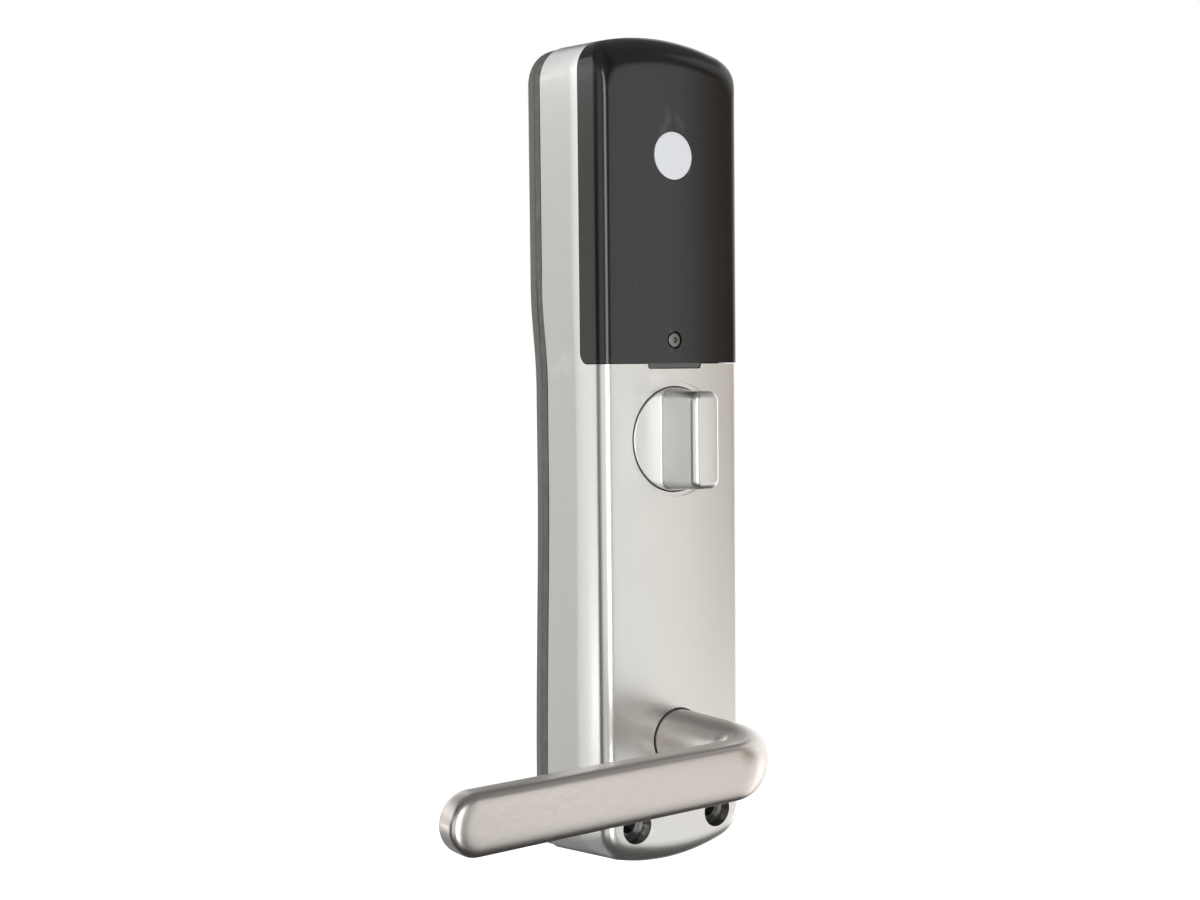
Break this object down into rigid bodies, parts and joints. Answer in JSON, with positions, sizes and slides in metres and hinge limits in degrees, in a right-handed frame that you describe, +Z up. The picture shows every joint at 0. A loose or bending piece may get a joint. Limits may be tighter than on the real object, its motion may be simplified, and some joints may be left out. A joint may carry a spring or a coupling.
{
  "type": "smart lock interior unit",
  "caption": "Tall rounded interior unit of an electronic door lock, with a battery cover, a thumb turn with its motor drive and a sprung lever handle.",
  "frame": {"origin": "on the door face, on the unit's centre line, midway between the thumb turn's axis and the lever's axis", "axes": "+Z up along the unit, +Y into the door, +X to the right seen from the room"},
  "size_m": [0.1511, 0.1269, 0.2928],
  "materials": {
    "satin_silver": "satin metallic lacquer on die-cast zinc",
    "satin_nickel": "satin nickel plate",
    "black_plastic": "smooth semi-gloss moulding",
    "grey_plastic": "fine grain moulding",
    "rubber": "soft matt moulding",
    "zinc_steel": "zinc plate",
    "white_print": "smooth",
    "nylon": "natural nylon",
    "circuit_board": "solder mask",
    "battery_wrap": "printed wrap, plain",
    "foam": "closed-cell foam",
    "red_plastic": "smooth"
  },
  "bodies": {
    "base": {"front_housing": "satin_silver", "chassis": "grey_plastic", "mounting_plate": "zinc_steel", "door_gasket": "rubber", "gearbox_plate": "grey_plastic", "battery_holder": "black_plastic", "battery_1": "battery_wrap", "battery_2": "battery_wrap", "battery_3": "battery_wrap", "battery_4": "battery_wrap", "contact_spring_1": "zinc_steel", "contact_spring_2": "zinc_steel", "contact_spring_3": "zinc_steel", "contact_spring_4": "zinc_steel", "contact_left_low": "zinc_steel", "contact_left_mid": "zinc_steel", "contact_left_high": "zinc_steel", "contact_right_low": "zinc_steel", "contact_right_high": "zinc_steel", "main_board": "circuit_board", "cable_socket": "white_print", "radio_module": "grey_plastic", "push_switch": "zinc_steel", "speaker": "black_plastic", "motor": "zinc_steel", "motor_lead": "red_plastic", "idler_pin": "zinc_steel", "thumb_bush": "nylon", "lever_bush": "nylon", "spring_cassette": "grey_plastic", "cassette_lid": "zinc_steel", "return_spring": "zinc_steel", "frame_screw_1": "zinc_steel", "frame_screw_2": "zinc_steel", "frame_screw_3": "zinc_steel", "frame_screw_4": "zinc_steel", "housing_screw_1": "zinc_steel", "housing_screw_2": "zinc_steel", "housing_screw_3": "zinc_steel", "housing_screw_4": "zinc_steel", "cassette_screw_1": "zinc_steel", "cassette_screw_2": "zinc_steel"},
    "cover": {"battery_cover": "black_plastic", "cover_badge": "white_print", "cover_pad": "foam"},
    "cover_screw": {"cover_screw": "zinc_steel"},
    "button": {"register_button": "red_plastic"},
    "thumb": {"thumb_turn": "satin_silver", "thumb_shaft": "zinc_steel", "thumb_clip": "zinc_steel", "drive_gear": "nylon"},
    "idler": {"idler_gear": "nylon"},
    "pinion": {"motor_pinion": "zinc_steel", "motor_shaft": "zinc_steel"},
    "lever": {"lever_handle": "satin_nickel", "lever_spindle": "zinc_steel", "lever_hub": "zinc_steel", "lever_grub_screw": "zinc_steel", "lever_clip": "zinc_steel"}
  },
  "joints": [
    {"name": "cover_lift", "type": "slide", "parent": "base", "child": "cover", "axis": [0, -1, 0], "range_m": [0, 0.12]},
    {"name": "cover_screw_turn", "type": "hinge", "parent": "cover", "child": "cover_screw", "pos_m": [0, -0.0441, 0.0869], "axis": [0, -1, 0], "continuous": true},
    {"name": "register_press", "type": "slide", "parent": "base", "child": "button", "axis": [0, 1, 0], "range_m": [0, 0.0012], "stiffness_N_per_m": 400, "springref_m": -0.001},
    {"name": "thumb_turn", "type": "hinge", "parent": "base", "child": "thumb", "pos_m": [0, -0.0441, 0.0525], "axis": [0, -1, 0], "range_deg": [-90, 90]},
    {"name": "idler_spin", "type": "hinge", "parent": "base", "child": "idler", "pos_m": [0, -0.0263, 0.0315], "axis": [0, -1, 0], "range_deg": [-225, 225]},
    {"name": "motor_spin", "type": "hinge", "parent": "base", "child": "pinion", "pos_m": [0, -0.0263, 0.0135], "axis": [0, -1, 0], "range_deg": [-450, 450]},
    {"name": "lever_turn", "type": "hinge", "parent": "base", "child": "lever", "pos_m": [0, -0.0441, -0.0525], "axis": [0, -1, 0], "range_deg": [0, 45], "stiffness_Nm_per_rad": 0.9, "springref_deg": -22.92}
  ],
  "couplings": [
    {"joint": "idler_spin", "follows": "thumb_turn", "ratio": -2.5},
    {"joint": "motor_spin", "follows": "thumb_turn", "ratio": 5}
  ]
}
